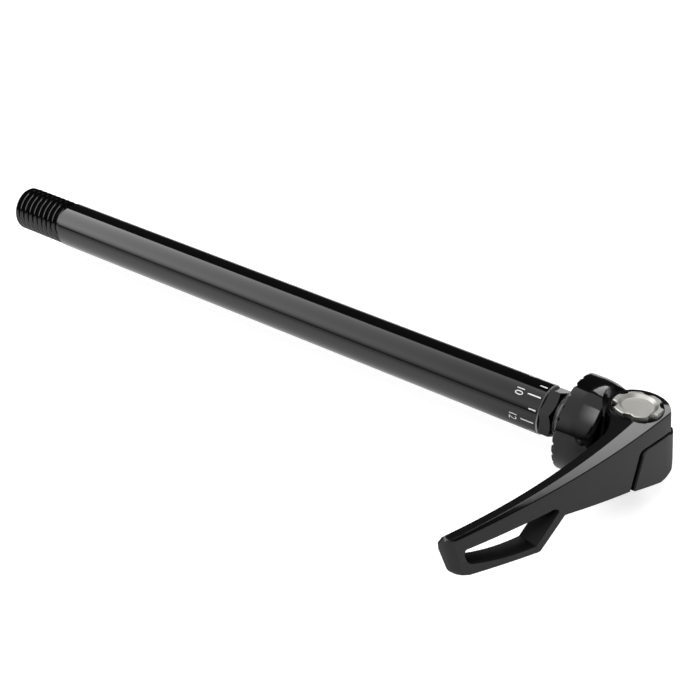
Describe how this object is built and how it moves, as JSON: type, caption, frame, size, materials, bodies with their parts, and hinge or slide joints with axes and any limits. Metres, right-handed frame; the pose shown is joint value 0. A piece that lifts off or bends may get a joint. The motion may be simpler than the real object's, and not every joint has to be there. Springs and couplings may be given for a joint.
{
  "type": "bicycle thru axle",
  "caption": "Black quick-release thru axle for a bicycle's rear wheel: threaded shaft with a numbered dial, hex end, toothed clamp cup and a cam lever with a slotted tip.",
  "frame": {"origin": "on the axle line, at the lever-side end of the plain shank", "axes": "+X along the axle towards the lever, +Z along the lever's pivot, and the closed lever's arm points to -Y"},
  "size_m": [0.1966, 0.0706, 0.0228],
  "materials": {
    "black_axle": "black anodised, glossy",
    "black_cup": "black anodised, glossy",
    "black_lever": "black anodised, satin",
    "steel": "satin",
    "inner_plastic": "matt"
  },
  "bodies": {
    "axle_body": {"axle_shaft": "black_axle", "hex_nut": "black_axle", "flange_washer": "inner_plastic", "thrust_washer": "steel"},
    "head_body": {"draw_rod": "steel", "pivot_barrel": "steel"},
    "cup_body": {"clamp_cup": "black_cup", "cam_saddle": "inner_plastic", "return_spring": "steel"},
    "lever_body": {"lever": "black_lever", "lever_bush_upper": "inner_plastic", "lever_bush_lower": "inner_plastic"}
  },
  "joints": [
    {"name": "head_turn", "type": "hinge", "parent": "axle_body", "child": "head_body", "pos_m": [0, 0, 0], "axis": [1, 0, 0], "continuous": true},
    {"name": "lever_swing", "type": "hinge", "parent": "head_body", "child": "lever_body", "pos_m": [0.0208, 0, 0], "axis": [0, 0, 1], "range_deg": [0, 90]},
    {"name": "cup_slide", "type": "slide", "parent": "head_body", "child": "cup_body", "axis": [1, 0, 0], "range_m": [0, 0.0005]}
  ],
  "couplings": [
    {"joint": "cup_slide", "follows": "lever_swing", "m_per_rad": 0.000318}
  ]
}
